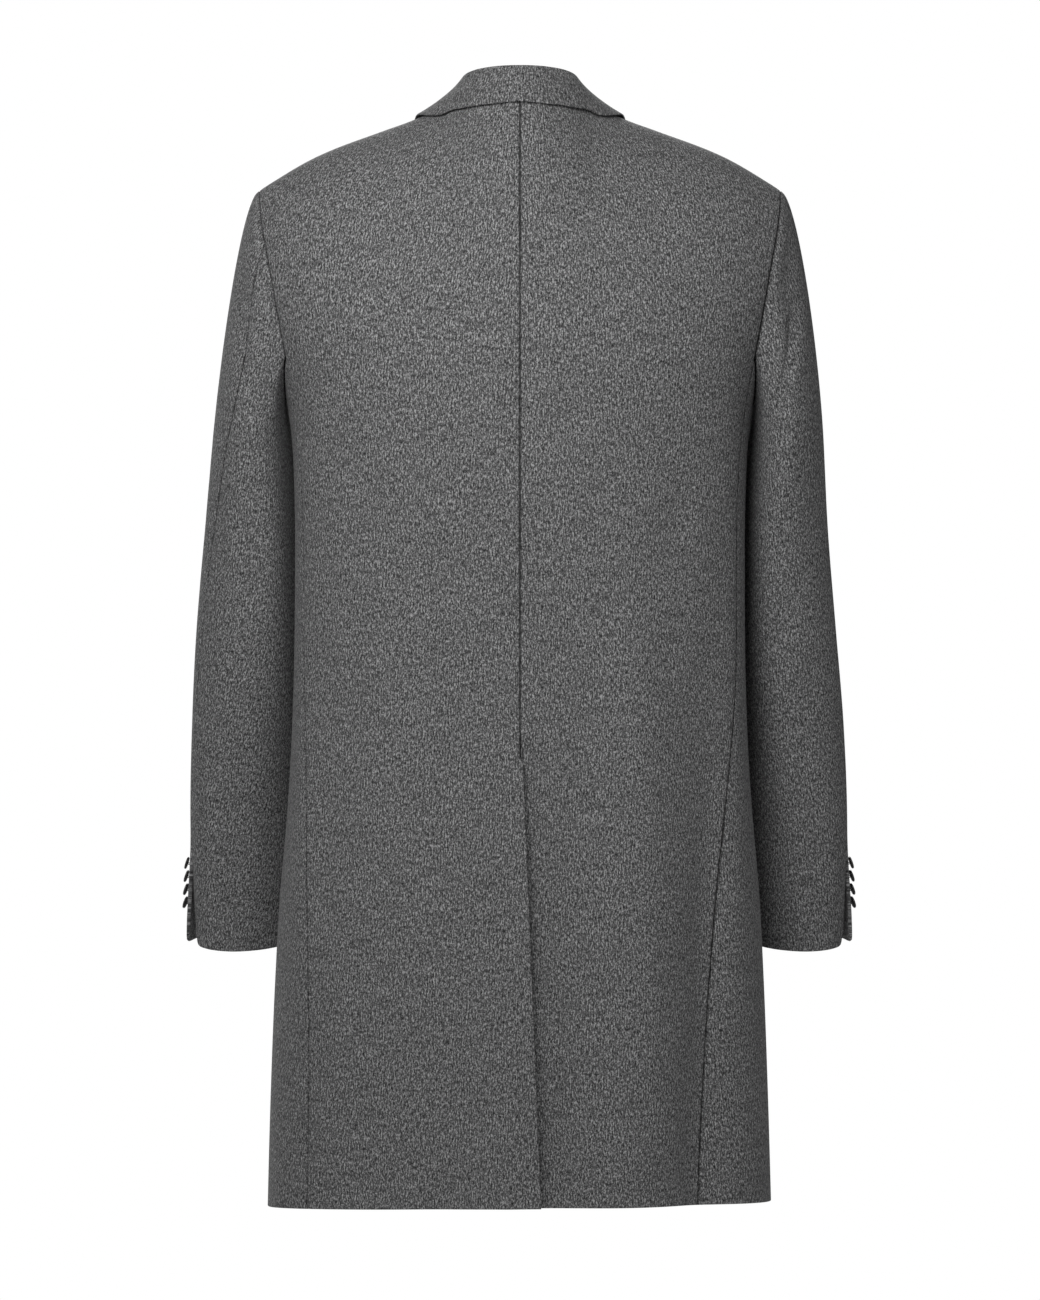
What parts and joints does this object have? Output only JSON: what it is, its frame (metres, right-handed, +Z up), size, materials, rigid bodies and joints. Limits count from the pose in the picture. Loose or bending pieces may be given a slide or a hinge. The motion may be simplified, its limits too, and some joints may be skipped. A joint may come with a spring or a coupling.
{
  "type": "midi coat",
  "caption": "Tailored single-breasted wool coat, filled out and empty: folded collar, notched lapels, two-piece sleeves with buttoned cuff vents and a lapped centre-back vent.",
  "frame": {"origin": "the middle of the neck opening, at the height where the coat's shoulder seams reach the neck and the coat sits on the wearer", "axes": "+Z up, the front faces -Y, +X is the wearer's left"},
  "size_m": [0.6035, 0.3048, 1.0032],
  "materials": {
    "wool_flannel": "charcoal-grey melange wool flannel, brushed and matt",
    "button_horn": "near-black polished horn look"
  },
  "bodies": {
    "root": {"back_left": "wool_flannel", "back_right": "wool_flannel", "side_left": "wool_flannel", "side_right": "wool_flannel", "front_left": "wool_flannel", "front_right": "wool_flannel", "lapel_left": "wool_flannel", "lapel_right": "wool_flannel", "collar": "wool_flannel", "sleeve_top_left": "wool_flannel", "sleeve_under_left": "wool_flannel", "sleeve_top_right": "wool_flannel", "sleeve_under_right": "wool_flannel", "cuff_button_left_1": "button_horn", "cuff_button_left_2": "button_horn", "cuff_button_left_3": "button_horn", "cuff_button_left_4": "button_horn", "cuff_button_right_1": "button_horn", "cuff_button_right_2": "button_horn", "cuff_button_right_3": "button_horn", "cuff_button_right_4": "button_horn", "front_button_1": "button_horn", "front_button_2": "button_horn", "front_button_3": "button_horn"}
  },
  "joints": []
}
